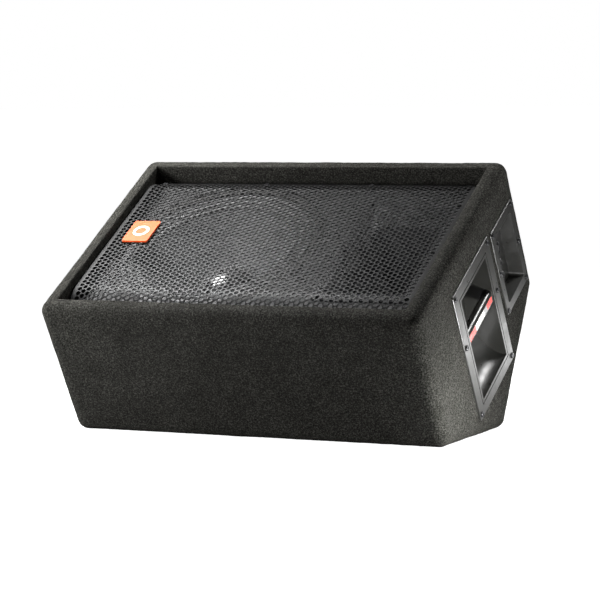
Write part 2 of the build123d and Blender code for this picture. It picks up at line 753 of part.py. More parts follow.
def end_flange(across, depth, size, screw_spots):
    """Flat flange of a moulded cup, standing on the right end board, with its screw holes."""
    with BuildPart() as flange:
        with BuildSketch(side_section(end_face_x)):
            with Locations((across, -depth)):
                RectangleRounded(*size, radius=3)
        extrude(amount=plate_thickness)
        fillet(flange.faces().sort_by(Axis.X)[-1].edges(), radius=1.2)
        with BuildSketch(side_section(end_face_x)):
            with Locations(*screw_spots):
                Circle(screw_shank_radius + hole_clearance)
        extrude(amount=plate_thickness, mode=Mode.SUBTRACT)
    return flange.part


handle_section = cross_section(plate_face_x, handle_across, handle_depth)


def boat(wall):
    """Half-elliptic dish behind the handle's mouth, grown by a wall thickness."""
    with BuildPart() as dish:
        with BuildSketch(handle_section):
            Ellipse(handle_mouth[1] / 2 + wall, handle_cup_depth + wall)
            with Locations((0, 100)):
                Rectangle(400, 200, mode=Mode.SUBTRACT)
        extrude(amount=handle_mouth[0] / 2 + wall, both=True)
    return dish.part


bar_width, bar_thickness = 21.0, 14.0
bar_set_back = 1.5             # bar's outer face below the cup's face
bar_centre = (handle_depth - handle_bar_depth, -(bar_set_back + bar_thickness / 2))
inlay_length, inlay_width, inlay_depth = 95.0, 9.0, 0.6

with BuildPart() as handle_cup:
    add(end_flange(handle_across, handle_depth, handle_size, handle_screw_spots))
    add(boat(cup_wall))
    add(boat(0), mode=Mode.SUBTRACT)
    with BuildSketch(side_section(plate_face_x)):
        with Locations((handle_across, -handle_depth)):
            Rectangle(handle_mouth[0] + 2 * (groove_gap + groove_width),
                      handle_mouth[1] + 2 * (groove_gap + groove_width))
            Rectangle(handle_mouth[0] + 2 * groove_gap, handle_mouth[1] + 2 * groove_gap,
                      mode=Mode.SUBTRACT)
    extrude(amount=-groove_depth, mode=Mode.SUBTRACT)
save(handle_cup, "handle_cup")

with BuildPart() as handle_bar:
    with BuildSketch(handle_section):
        with Locations(bar_centre):
            RectangleRounded(bar_width, bar_thickness, radius=6)
    extrude(amount=handle_mouth[0] / 2, both=True)
    with BuildSketch(side_section(plate_face_x - bar_set_back)):
        with Locations((handle_across, -handle_bar_depth)):
            Rectangle(inlay_length, inlay_width)
    extrude(amount=-inlay_depth, mode=Mode.SUBTRACT)
save(handle_bar, "handle_bar")


def bar_inlay(name, *stretches):
    """Coloured strips let into the bar, each given by its start and end along the bar."""
    with BuildPart() as strips:
        for start, end in stretches:
            with BuildSketch(side_section(plate_face_x - bar_set_back - inlay_depth)):
                with Locations((handle_across + (start + end - inlay_length) / 2, -handle_bar_depth)):
                    Rectangle(end - start, inlay_width)
            extrude(amount=inlay_depth - 0.1)
    save(strips, name)


bar_inlay("bar_inlay_red", (0, 26), (74, inlay_length))
bar_inlay("bar_inlay_white", (26, 61))
bar_inlay("bar_inlay_grey", (61, 74))


def end_screws(spots, name):
    """Pan-head screws with a cross recess, through a cup's flange into the end board."""
    with BuildPart() as screws:
        with BuildSketch(side_section(plate_face_x)):
            with Locations(*spots):
                Circle(screw_head_radius)
        extrude(amount=screw_head_height)
        fillet(screws.faces().sort_by(Axis.X)[-len(spots):].edges(), radius=1.2)
        with BuildSketch(side_section(plate_face_x)):
            with Locations(*spots):
                Circle(screw_shank_radius)
        extrude(amount=-(end_screw_length + plate_thickness))
        with BuildSketch(side_section(plate_face_x + screw_head_height)):
            with Locations(*spots):
                Rectangle(4.4, 1.0)
                Rectangle(1.0, 4.4)
        extrude(amount=-1.2, mode=Mode.SUBTRACT)
    save(screws, name)


end_screws(handle_screw_spots, "handle_screws")
end_screws(input_screw_spots, "input_screws")

# ---------------------------------------------------------------- input panel on the right end
input_floor_x = plate_face_x - input_cup_depth
connector_across = 319.0
twist_lock_spots = [(connector_across, -row) for row in (81.7, 107.7)]
phone_jack_spots = [(connector_across, -row) for row in (130.0, 151.5)]
twist_lock_radius, phone_bushing_radius = 11.6, 5.0
bezel_radius, bezel_height = 12.6, 3.2
socket_outer, socket_core, socket_length = 10.0, 6.4, 20.0
twist_lock_length, tail_length = 24.0, 8.0
draft, mouth_corner = 4.0, 4.0


def drafted_well(growth, drop):
    """Input cup's hollow, narrowing a little towards its floor."""
    with BuildPart() as well:
        with BuildSketch(side_section(plate_face_x)):
            with Locations((input_across, -input_depth)):
                RectangleRounded(input_mouth[0] + 2 * growth, input_mouth[1] + 2 * growth,
                                 radius=mouth_corner + growth)
        with BuildSketch(side_section(plate_face_x - drop)):
            with Locations((input_across, -input_depth)):
                RectangleRounded(input_mouth[0] + 2 * growth - 2 * draft,
                                 input_mouth[1] + 2 * growth - 2 * draft, radius=mouth_corner + growth)
        loft()
    return well.part


with BuildPart() as input_cup:
    add(end_flange(input_across, input_depth, input_size, input_screw_spots))
    add(drafted_well(cup_wall, input_cup_depth + cup_wall))
    add(drafted_well(0, input_cup_depth), mode=Mode.SUBTRACT)
    with BuildSketch(side_section(input_floor_x)):
        with Locations(*twist_lock_spots):
            Circle(twist_lock_radius)
        with Locations(*phone_jack_spots):
            Circle(phone_bushing_radius)
    extrude(amount=-cup_wall - 1, mode=Mode.SUBTRACT)
save(input_cup, "input_cup")

# twist-lock loudspeaker sockets: bezel, barrel, ring-shaped socket with key slots, tail tabs
with BuildPart() as twist_lock_sockets:
    with BuildSketch(side_section(input_floor_x)):
        with Locations(*twist_lock_spots):
            Circle(bezel_radius)
    extrude(amount=bezel_height)
    fillet(twist_lock_sockets.faces().sort_by(Axis.X)[-2:].edges(), radius=1.0)
    with BuildSketch(side_section(input_floor_x)):
        with Locations(*twist_lock_spots):
            Circle(twist_lock_radius)
    extrude(amount=-twist_lock_length)
    with BuildSketch(side_section(input_floor_x + bezel_height)):
        with Locations(*twist_lock_spots):
            Circle(socket_outer)
            Circle(socket_core, mode=Mode.SUBTRACT)
    extrude(amount=-socket_length, mode=Mode.SUBTRACT)
    with BuildSketch(side_section(input_floor_x + bezel_height)):
        with Locations(*twist_lock_spots):
            with PolarLocations(socket_outer, 4, start_angle=45):
                Rectangle(1.8, 3.0)
    extrude(amount=-12, mode=Mode.SUBTRACT)
    with BuildSketch(side_section(input_floor_x - twist_lock_length)):
        with Locations(*twist_lock_spots):
            with GridLocations(9, 9, 2, 2):
                Rectangle(0.8, 4.8)
    extrude(amount=-tail_length)
save(twist_lock_sockets, "twist_lock_sockets")

phone_bore_radius = 3.3
phone_bore_length = 30.0
bushing_front_x = input_floor_x + 4.5
jack_body, jack_body_length = 16.0, 26.0
washer_radius, washer_height = 7.6, 0.8
nut_radius, nut_height = 7.0, 2.4
with BuildPart() as phone_jacks:
    with BuildSketch(side_section(input_floor_x - cup_wall)):
        with Locations(*phone_jack_spots):
            RectangleRounded(jack_body, jack_body, radius=1)
    extrude(amount=-jack_body_length)
    with BuildSketch(side_section(input_floor_x - cup_wall)):
        with Locations(*phone_jack_spots):
            Circle(phone_bushing_radius)
    extrude(amount=bushing_front_x - input_floor_x + cup_wall)
    with BuildSketch(side_section(bushing_front_x)):
        with Locations(*phone_jack_spots):
            Circle(phone_bore_radius)
    extrude(amount=-phone_bore_length, mode=Mode.SUBTRACT)
save(phone_jacks, "phone_jacks")

with BuildPart() as phone_jack_nuts:
    with BuildSketch(side_section(input_floor_x)):
        with Locations(*phone_jack_spots):
            Circle(washer_radius)
            Circle(phone_bushing_radius, mode=Mode.SUBTRACT)
    extrude(amount=washer_height)
    with BuildSketch(side_section(input_floor_x + washer_height)):
        with Locations(*phone_jack_spots):
            RegularPolygon(nut_radius, 6)
            Circle(phone_bushing_radius, mode=Mode.SUBTRACT)
    extrude(amount=nut_height)
save(phone_jack_nuts, "phone_jack_nuts")

# ---------------------------------------------------------------- crossover on the rear board
board_x, board_depth = 10.0, 128.0
board_size = (90.0, 140.0)
standoff, standoff_radius = 12.0, 4.0
circuit_board = 1.6
board_screw_radius, board_screw_inset = 1.6, 5.0
board_screw_pitch = [side_length - 2 * board_screw_inset for side_length in board_size]
rear_wall_inside = baffle_side - wood_inner
board_front = rear_wall_inside - standoff - circuit_board


def crossover_plane(across):
    """Plane square to the across direction at the crossover, local axes (minus depth, X)."""
    return cross_section(board_x, across, board_depth)


with BuildPart() as crossover_board:
    with BuildSketch(crossover_plane(board_front)):
        Rectangle(*board_size)
        with GridLocations(*board_screw_pitch, 2, 2):
            Circle(board_screw_radius + 0.1, mode=Mode.SUBTRACT)
    extrude(amount=circuit_board)
save(crossover_board, "crossover_board")

with BuildPart() as crossover_standoffs:
    with BuildSketch(crossover_plane(board_front + circuit_board)):
        with GridLocations(*board_screw_pitch, 2, 2):
            Circle(standoff_radius)
    extrude(amount=standoff)
    with BuildSketch(crossover_plane(board_front + circuit_board)):
        with GridLocations(*board_screw_pitch, 2, 2):
            Circle(board_screw_radius)
    extrude(amount=-circuit_board)
    with BuildSketch(crossover_plane(board_front)):
        with GridLocations(*board_screw_pitch, 2, 2):
            Circle(3.2)
    extrude(amount=-2)
save(crossover_standoffs, "crossover_standoffs")

with BuildPart() as crossover_coils:
    for spot, radius, height in (((18, 38), 19, 22), ((-20, -42), 16, 18)):
        with BuildSketch(crossover_plane(board_front)):
            with Locations(spot):
                Circle(radius)
                Circle(7, mode=Mode.SUBTRACT)
        extrude(amount=-height)
save(crossover_coils, "crossover_coils")

capacitor_length, capacitor_height, capacitor_lift = 30.0, 18.0, 0.2
with BuildPart() as crossover_capacitors:
    for spot in ((26, -8), (26, -32), (-26, 8)):
        with BuildSketch(cross_section(board_x, board_front - capacitor_height / 2, board_depth)):
            with Locations(spot):
                RectangleRounded(capacitor_length, capacitor_height, radius=3)
        extrude(amount=capacitor_height / 2 - capacitor_lift)
        with BuildSketch(cross_section(board_x, board_front - capacitor_height / 2, board_depth)):
            with Locations(spot):
                RectangleRounded(capacitor_length, capacitor_height, radius=3)
        extrude(amount=-capacitor_height / 2)
save(crossover_capacitors, "crossover_capacitors")

with BuildPart() as crossover_resistors:
    with BuildSketch(crossover_plane(board_front)):
        with Locations((-4, -4), (-26, 40)):
            Rectangle(10, 32)
    extrude(amount=-10)
save(crossover_resistors, "crossover_resistors")

with BuildPart() as crossover_terminal_block:
    with BuildSketch(crossover_plane(board_front)):
        with Locations((0, 62)):
            Rectangle(50, 9)
    extrude(amount=-11)
save(crossover_terminal_block, "crossover_terminal_block")

# ---------------------------------------------------------------- internal wiring
wire_radius = 2.4


def bend_radii(points):
    """Largest gentle radius for each corner of a route: 0.45 of its shorter run, tangent to both."""
    radii = []
    for before, corner, after in zip(points, points[1:], points[2:]):
        inward, outward = corner - before, after - corner
        half_turn = radians(inward.get_angle(outward)) / 2
        radii.append(0.45 * min(inward.length, outward.length) / tan(half_turn))
    return radii


def wire(name, *route):
    """Round loom of two conductors along straight runs joined by tangent arcs."""
    points = [place(*stop) for stop in route]
    radii = bend_radii(points)
    with BuildPart() as loom:
        with BuildLine():
            path = FilletPolyline(*points, radius=radii)
        with BuildSketch(Plane(origin=path @ 0, z_dir=path % 0)):
            Circle(wire_radius)
        sweep(path=path)
    swept = loom.part.volume / (path.length * pi * wire_radius ** 2)
    print(name, "length", round(path.length, 1), "volume ratio", round(swept, 4),
          "radii", [round(radius, 1) for radius in radii])
    save(loom, name)


block_front = board_front - 12.2
block_x = board_x + 62
tail_x = input_floor_x - twist_lock_length - tail_length - 0.5
wire("input_wire", (tail_x, connector_across, 92), (tail_x - 30, connector_across, 93),
     (tail_x - 62, 314, 104), (block_x + 58, 306, 113), (block_x + 24, 302, 114),
     (block_x + 2, 308, 113), (block_x, block_front, 112))
wire("woofer_wire", (block_x, block_front, 128), (block_x - 3, 309, 129), (block_x - 26, 296, 132),
     (block_x - 66, 291, 136), (woofer_x + 44, 290, 137), (woofer_x + 12, 288, 136),
     (woofer_x, woofer_across + 82, 128))
wire("horn_wire", (block_x, block_front, 144), (block_x + 3, 308, 146), (block_x + 24, 292, 156),
     (block_x + 58, 272, 161), (horn_x - 14, 254, 160), (horn_x, 240, 152))
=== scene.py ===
"""Looks of a carpeted stage monitor wedge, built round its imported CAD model.

Metres throughout, in the CAD's own frame: +X along the long side, +Z up.  Places on the tilted
side are (x, across, depth): across runs from its front edge to its rear edge, and depth runs
square to it, into the cabinet.
"""
import json
import math
from collections import namedtuple

import bmesh
import bpy
from mathutils import Matrix, Vector, noise
from mathutils.geometry import delaunay_2d_cdt
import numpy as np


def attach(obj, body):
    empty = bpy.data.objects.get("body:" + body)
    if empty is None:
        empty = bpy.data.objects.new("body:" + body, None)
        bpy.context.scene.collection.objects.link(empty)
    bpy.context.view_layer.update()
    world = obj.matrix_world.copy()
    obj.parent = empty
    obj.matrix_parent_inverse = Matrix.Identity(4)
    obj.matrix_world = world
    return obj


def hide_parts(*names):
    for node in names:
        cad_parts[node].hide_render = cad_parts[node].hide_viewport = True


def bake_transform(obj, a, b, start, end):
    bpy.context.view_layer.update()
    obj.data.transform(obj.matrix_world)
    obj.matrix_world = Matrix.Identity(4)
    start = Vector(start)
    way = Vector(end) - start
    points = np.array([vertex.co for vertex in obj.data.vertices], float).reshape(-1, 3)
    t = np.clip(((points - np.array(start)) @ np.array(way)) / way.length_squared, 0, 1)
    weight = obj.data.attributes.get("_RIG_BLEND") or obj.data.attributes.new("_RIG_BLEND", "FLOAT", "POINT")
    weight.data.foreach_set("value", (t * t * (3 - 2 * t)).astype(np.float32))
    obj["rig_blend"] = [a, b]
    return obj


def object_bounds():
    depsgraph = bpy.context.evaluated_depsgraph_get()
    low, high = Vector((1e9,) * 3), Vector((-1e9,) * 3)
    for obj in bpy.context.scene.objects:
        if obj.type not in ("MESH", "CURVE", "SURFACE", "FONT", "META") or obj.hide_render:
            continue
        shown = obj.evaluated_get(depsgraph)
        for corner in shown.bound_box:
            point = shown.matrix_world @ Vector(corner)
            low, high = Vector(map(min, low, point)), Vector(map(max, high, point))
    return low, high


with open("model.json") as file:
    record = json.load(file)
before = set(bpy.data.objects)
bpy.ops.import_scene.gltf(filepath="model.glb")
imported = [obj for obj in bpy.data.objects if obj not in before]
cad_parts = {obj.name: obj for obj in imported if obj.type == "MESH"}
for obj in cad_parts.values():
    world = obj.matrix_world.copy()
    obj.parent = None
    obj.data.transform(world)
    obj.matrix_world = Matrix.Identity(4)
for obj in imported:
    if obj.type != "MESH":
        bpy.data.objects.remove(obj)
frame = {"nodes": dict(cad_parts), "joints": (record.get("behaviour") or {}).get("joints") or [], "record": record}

cad_low, cad_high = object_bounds()
nodes = frame["nodes"]
record = frame["record"]

# ---------------------------------------------------------------- camera
camera_place = Vector((1.49042, -3.15040, 0.46812))
view_line = Vector((-0.42205, 0.90280, -0.08265)).normalized()
camera_roll = math.radians(-0.57)
level_right = view_line.cross(Vector((0, 0, 1))).normalized()
level_up = level_right.cross(view_line)
camera_right = level_right * math.cos(camera_roll) + level_up * math.sin(camera_roll)
camera_up = level_up * math.cos(camera_roll) - level_right * math.sin(camera_roll)

camera_data = bpy.data.cameras.new("camera")
camera_data.lens = 151.16
camera_data.sensor_width = 36.0
camera = bpy.data.objects.new("camera", camera_data)
bpy.context.scene.collection.objects.link(camera)
axes = Matrix((camera_right, camera_up, -view_line)).transposed().to_4x4()
camera.matrix_world = Matrix.Translation(camera_place) @ axes
bpy.context.scene.camera = camera

# ---------------------------------------------------------------- slanted frame of the tilted side
cone_joint = next(j for j in frame["joints"] if j["name"] == "woofer_excursion")
out_dir = Vector(cone_joint["axis"]).normalized()
across_dir = Vector((0, out_dir.z, -out_dir.y))
long_dir = Vector((1, 0, 0))


def extent(node):
    """Lowest and highest of a CAD node along X, across and out."""
    points = [(v.co.x, v.co.dot(across_dir), v.co.dot(out_dir)) for v in nodes[node].data.vertices]
    return [min(axis) for axis in zip(*points)], [max(axis) for axis in zip(*points)]


wrap_low, wrap_high = extent("carpet_wrap")
front_across, rear_across, rim_out = wrap_low[1], wrap_high[1], wrap_high[2]
half_length = extent("carpet_right_end")[1][0]


def slanted(x, across, depth):
    """Point from its place along X, across the tilted side and below the rim."""
    return long_dir * x + across_dir * (front_across + across) + out_dir * (rim_out - depth)


# ---------------------------------------------------------------- material helpers
class Surface:
    """A Principled material with its nodes, in the object's own metres."""

    def __init__(self, name, **sockets):
        self.material = bpy.data.materials.new(name)
        self.material.use_nodes = True
        self.tree = self.material.node_tree
        self.shader = self.tree.nodes["Principled BSDF"]
        coordinates = self.tree.nodes.new("ShaderNodeTexCoord")
        self.place = coordinates.outputs["Object"]
        for socket, value in sockets.items():
            self.shader.inputs[socket.replace("_", " ")].default_value = value

    def node(self, kind, inputs=None, **settings):
        made = self.tree.nodes.new(kind)
        for key, value in settings.items():
            setattr(made, key, value)
        for key, value in (inputs or {}).items():
            if isinstance(value, bpy.types.NodeSocket):
                self.tree.links.new(value, made.inputs[key])
            else:
                made.inputs[key].default_value = value
        return made

    def noise(self, size, detail=4.0, roughness=0.6, stretch=(1, 1, 1)):
        """Noise whose features are about size metres wide."""
        mapped = self.node("ShaderNodeMapping", {"Vector": self.place, "Scale": stretch})
        made = self.node("ShaderNodeTexNoise", {"Vector": mapped.outputs[0], "Scale": 1 / size,
                                                "Detail": detail, "Roughness": roughness})
        return made.outputs["Fac"]

    def ramp(self, value, *stops):
        """Colour ramp through (place, colour) stops."""
        made = self.node("ShaderNodeValToRGB", {"Fac": value})
        elements = made.color_ramp.elements
        while len(elements) < len(stops):
            elements.new(0.5)
        for element, (place, colour) in zip(elements, stops):
            element.position = place
            element.color = (*colour, 1)
        return made.outputs["Color"]

    def span(self, value, low, high, start=0.3, end=0.7):
        """Value between start and end remapped to low and high."""
        made = self.node("ShaderNodeMapRange", {"Value": value, "From Min": start, "From Max": end,
                                                "To Min": low, "To Max": high})
        return made.outputs["Result"]

    def mix(self, factor, first, second, blend="MIX"):
        """Colour mix of two sockets or colours."""
        made = self.node("ShaderNodeMix", data_type="RGBA", blend_type=blend)
        for socket, value in zip((made.inputs[0], made.inputs[6], made.inputs[7]),
                                 (factor, first, second)):
            if isinstance(value, bpy.types.NodeSocket):
                self.tree.links.new(value, socket)
            else:
                socket.default_value = value
        return made.outputs[2]

    def link(self, output, socket):
        self.tree.links.new(output, self.shader.inputs[socket])

    def bump(self, *layers):
        """Stack of (height, distance, strength) bumps."""
        normal = None
        for height, distance, strength in layers:
            inputs = {"Height": height, "Distance": distance, "Strength": strength}
            if normal is not None:
                inputs["Normal"] = normal
            normal = self.node("ShaderNodeBump", inputs).outputs["Normal"]
        self.link(normal, "Normal")


def tone(colour, factor):
    """Colour made lighter or darker."""
    return tuple(min(1.0, channel * factor) for channel in colour)


def moulded(name, colour, roughness, grain=0.0007, relief=0.00006, variation=0.12, **sockets):
    """Moulded or coated surface: fine grain, slight colour drift and uneven gloss."""
    s = Surface(name, **sockets)
    drift = s.noise(0.05, detail=3)
    fine = s.noise(grain, detail=3)
    s.link(s.ramp(drift, (0.3, tone(colour, 1 - variation)), (0.7, tone(colour, 1 + variation))),
           "Base Color")
    s.link(s.span(s.noise(0.012, detail=5), roughness - 0.06, roughness + 0.06), "Roughness")
    s.bump((fine, relief, 0.6))
    return s.material


def metal(name, colour, roughness, scratch=0.002, **sockets):
    """Bare or plated metal with faint drawn marks."""
    s = Surface(name, Metallic=1.0, **sockets)
    marks = s.noise(scratch, detail=5, stretch=(1, 1, 6))
    s.link(s.ramp(marks, (0.3, tone(colour, 0.85)), (0.7, tone(colour, 1.1))), "Base Color")
    s.link(s.span(marks, roughness - 0.07, roughness + 0.08), "Roughness")
    s.bump((marks, 0.00003, 0.3))
    return s.material


# ---------------------------------------------------------------- materials
full_turn = 6.283              # radians, rounded, in the scale of the wave textures


def carpet_felt():
    """Charcoal needle felt: matted fibres with paler and darker flecks."""
    s = Surface("carpet_felt", Roughness=0.95)
    s.shader.inputs["Specular IOR Level"].default_value = 0.03
    flecks = s.noise(0.0022, detail=6, roughness=0.8)
    drift = s.noise(0.045, detail=3)
    fibres = s.ramp(flecks, (0.36, (0.002, 0.002, 0.0018)), (0.5, (0.013, 0.0128, 0.0115)),
                    (0.66, (0.060, 0.059, 0.053)))
    shade = s.ramp(drift, (0.3, (0.8, 0.8, 0.78)), (0.7, (1.1, 1.1, 1.09)))
    s.link(s.mix(1.0, fibres, shade, "MULTIPLY"), "Base Color")
    strands = s.node("ShaderNodeTexVoronoi", {"Vector": s.place, "Scale": 420.0},
                     feature="DISTANCE_TO_EDGE").outputs["Distance"]
    s.bump((s.noise(0.007, detail=3), 0.0012, 0.5), (flecks, 0.0012, 0.9), (strands, 0.0006, 0.4))
    return s.material


def plywood_board():
    """Birch plywood with long grain."""
    s = Surface("plywood_board", Roughness=0.6)
    grain = s.noise(0.004, detail=6, stretch=(0.08, 1, 1))
    s.link(s.ramp(grain, (0.3, (0.36, 0.24, 0.13)), (0.7, (0.56, 0.41, 0.25))), "Base Color")
    s.bump((grain, 0.0003, 0.5))
    return s.material


def woven(name, colour, thread, roughness=0.9, relief=0.0004):
    """Woven cloth of two crossing sets of threads."""
    s = Surface(name, Roughness=roughness)
    warp = s.node("ShaderNodeTexWave", {"Vector": s.place, "Scale": 1 / thread / full_turn,
                                        "Distortion": 0.6}, bands_direction="X").outputs["Fac"]
    weft = s.node("ShaderNodeTexWave", {"Vector": s.place, "Scale": 1 / thread / full_turn,
                                        "Distortion": 0.6}, bands_direction="Y").outputs["Fac"]
    weave = s.node("ShaderNodeMath", {0: warp, 1: weft}, operation="MULTIPLY").outputs[0]
    s.link(s.ramp(weave, (0.0, tone(colour, 0.6)), (0.8, tone(colour, 1.3))), "Base Color")
    s.bump((weave, relief, 0.7))
    return s.material


def fibrous(name, colour, clump=0.004, relief=0.003):
    """Loose batt of crimped fibres."""
    s = Surface(name, Roughness=1.0)
    clumps = s.noise(clump, detail=8, roughness=0.8)
    s.link(s.ramp(clumps, (0.3, tone(colour, 0.55)), (0.7, tone(colour, 1.2))), "Base Color")
    s.bump((clumps, relief, 0.9))
    return s.material


def pressed_paper(name, colour, roughness, relief=0.0003, **sockets):
    """Pressed pulp with fibres and faint mottling."""
    s = Surface(name, **sockets)
    pulp = s.noise(0.0018, detail=7, roughness=0.7)
    s.link(s.ramp(pulp, (0.3, tone(colour, 0.7)), (0.7, tone(colour, 1.35))), "Base Color")
    s.link(s.span(s.noise(0.01), roughness - 0.08, roughness + 0.08), "Roughness")
    s.bump((pulp, relief, 0.6))
    return s.material


def banded(name, colour, pitch, roughness, metallic=0.0):
    """Turns of wire lying side by side along the axis."""
    s = Surface(name, Metallic=metallic, Roughness=roughness)
    turns = s.node("ShaderNodeTexWave", {"Vector": s.place, "Scale": 1 / pitch / full_turn,
                                         "Distortion": 0.2}, bands_direction="Z").outputs["Fac"]
    s.link(s.ramp(turns, (0.1, tone(colour, 0.45)), (0.7, colour)), "Base Color")
    s.bump((turns, 0.0003, 0.8))
    return s.material


materials = {
    "plywood": plywood_board(),
    "painted_board": moulded("painted_board", (0.008, 0.008, 0.008), 0.7, grain=0.002,
                             relief=0.0002),
    "wadding": fibrous("fibre_wadding", (0.62, 0.60, 0.55)),
    "carpet": carpet_felt(),
    "grille_steel": moulded("grille_powder_coat", (0.006, 0.006, 0.006), 0.48, grain=0.0005,
                            relief=0.00003, Specular_IOR_Level=0.12),
    "black_screw": moulded("blackened_screw", (0.012, 0.012, 0.013), 0.34, Metallic=0.35),
    "badge_orange": moulded("badge_orange_enamel", (0.40, 0.052, 0.008), 0.5, relief=0.00001,
                            variation=0.05, Specular_IOR_Level=0.15),
    "badge_white": moulded("white_enamel", (0.50, 0.49, 0.46), 0.5, relief=0.00001,
                           variation=0.04, Specular_IOR_Level=0.15),
    "black_plastic": moulded("black_moulding", (0.014, 0.014, 0.014), 0.36, grain=0.0009),
    "basket_steel": moulded("basket_paint", (0.018, 0.018, 0.019), 0.45),
    "gasket_rubber": moulded("gasket_board", (0.022, 0.021, 0.020), 0.8, relief=0.0002),
    "surround_cloth": woven("doped_surround_cloth", (0.034, 0.034, 0.034), 0.0011, 0.5),
    "cone_paper": pressed_paper("cone_pulp", (0.046, 0.046, 0.047), 0.5),
    "dust_cap_paper": pressed_paper("dust_cap_pulp", (0.022, 0.022, 0.022), 0.25,
                                    relief=0.0001, Coat_Weight=0.5),
    "spider_cloth": woven("spider_cloth", (0.55, 0.36, 0.12), 0.0010),
    "coil_former": moulded("coil_former_film", (0.42, 0.22, 0.05), 0.35, relief=0.00001),
    "copper": banded("enamelled_copper", (0.72, 0.33, 0.14), 0.0006, 0.3, metallic=0.9),
    "plated_steel": metal("zinc_plated_steel", (0.62, 0.62, 0.60), 0.38),
    "ferrite": moulded("ferrite_ring", (0.045, 0.045, 0.047), 0.55, relief=0.0002),
    "horn_plastic": moulded("horn_moulding", (0.020, 0.020, 0.021), 0.27, grain=0.0012,
                            relief=0.00003),
    "diaphragm_film": metal("diaphragm_foil", (0.75, 0.75, 0.76), 0.28),
    "cup_plastic": moulded("cup_moulding", (0.009, 0.009, 0.008), 0.33, grain=0.0009,
                           relief=0.00008, Specular_IOR_Level=0.42),
    "inlay_red": moulded("red_inlay", (0.40, 0.016, 0.010), 0.35, relief=0.00001, variation=0.05),
    "inlay_grey": moulded("grey_inlay", (0.16, 0.16, 0.16), 0.4, relief=0.00001),
    "nut_chrome": metal("bright_nut", (0.86, 0.86, 0.85), 0.16),
    "circuit_board": moulded("fibre_board", (0.50, 0.33, 0.14), 0.5, relief=0.0001),
    "standoff_nylon": moulded("nylon_standoff", (0.62, 0.61, 0.56), 0.45),
    "capacitor_film": moulded("capacitor_wrap", (0.62, 0.42, 0.10), 0.3, relief=0.00002,
                              Coat_Weight=0.3),
    "resistor_ceramic": moulded("ceramic_block", (0.70, 0.69, 0.65), 0.75, relief=0.0003),
    "wire_sleeve": moulded("wire_sleeve", (0.05, 0.05, 0.05), 0.4),
}
node_slots = {part["node"]: part["material_slot"] for part in record["subparts"]}
for node, slot in node_slots.items():
    nodes[node].data.materials.clear()
    nodes[node].data.materials.append(materials[slot])


# ---------------------------------------------------------------- piece helpers
def new_piece(name, points, faces, slot):
    """Mesh object from points and faces, with the finish of one of the record's slots."""
    mesh = bpy.data.meshes.new(name)
    mesh.from_pydata(points, [], faces)
    made = bpy.data.objects.new(name, mesh)
    bpy.context.scene.collection.objects.link(made)
    mesh.materials.append(materials[slot])
    return made


def bake_modifiers(piece, sharp_angle):
    """Apply the modifiers and smooth every edge that turns less than the angle."""
    bpy.context.view_layer.update()
    shown = piece.evaluated_get(bpy.context.evaluated_depsgraph_get())
    baked = bpy.data.meshes.new_from_object(shown)
    piece.modifiers.clear()
    old = piece.data
    piece.data = baked
    bpy.data.meshes.remove(old)
    baked.shade_smooth()
    baked.set_sharp_from_angle(angle=math.radians(sharp_angle))


def thicken(piece, thickness):
    """Give an outer skin its thickness, inwards."""
    solid = piece.modifiers.new("thickness", "SOLIDIFY")
    solid.thickness = thickness
    solid.offset = -1.0


def stations(start, end, step):
    """Evenly spaced places from start to end, about step apart."""
    count = max(1, round(abs(end - start) / step))
    return [start + (end - start) * i / count for i in range(count + 1)]


# ---------------------------------------------------------------- perforated grille
hole_pitch = 0.00814           # along a column, before it is fitted to the sheet
column_pitch = 0.00705
hole_radius = 0.0034
hole_sides = 16
grille_thickness = 0.0015
grille_land = 0.010
land_depth = 0.027
shoulder_radius = 0.040
plain_end = 0.005              # beyond the last holes at the front and rear
plain_side = 0.006             # least width beyond the last column at each side
bend = 0.002                   # outer radius of the bends along the edges
bend_steps = 3

grille_low, grille_high = extent("grille")
half_width = grille_high[0]
grille_front, grille_rear = grille_low[1] - front_across, grille_high[1] - front_across
crown_depth, foot_depth = rim_out - grille_high[2], rim_out - grille_low[2]
half_chord = (grille_rear - grille_front) / 2 - grille_land
shoulder_turn = math.acos(1 - (land_depth - crown_depth) / shoulder_radius)
shoulder_run = shoulder_radius * shoulder_turn
flat_half = half_chord - shoulder_radius * math.sin(shoulder_turn)
half_run = flat_half + shoulder_run + grille_land - plain_end
columns = 2 * int((half_width - plain_side) / column_pitch)
rows = round(2 * half_run / hole_pitch)
row_pitch = 2 * half_run / rows
bend_start = half_width - bend
bend_turns = [math.pi / 2 * k / bend_steps for k in range(bend_steps + 1)]


def on_sheet(run):
    """Place across and depth at a distance along the outer face from its middle."""
    beyond = abs(run) - flat_half
    if beyond <= 0:
        reach, depth = abs(run), crown_depth
    elif beyond < shoulder_run:
        angle = beyond / shoulder_radius
        reach = flat_half + shoulder_radius * math.sin(angle)
        depth = crown_depth + shoulder_radius * (1 - math.cos(angle))
    else:
        reach, depth = half_chord + beyond - shoulder_run, land_depth
    return (grille_front + grille_rear) / 2 + math.copysign(reach, run), depth


def column_x(i):
    """Place along X of a half column, counted from the left of the holes."""
    return (i - columns) * column_pitch / 2


def row_run(j):
    """Distance along the outer face of a half row, counted from the front of the holes."""
    return (j - rows) * row_pitch / 2


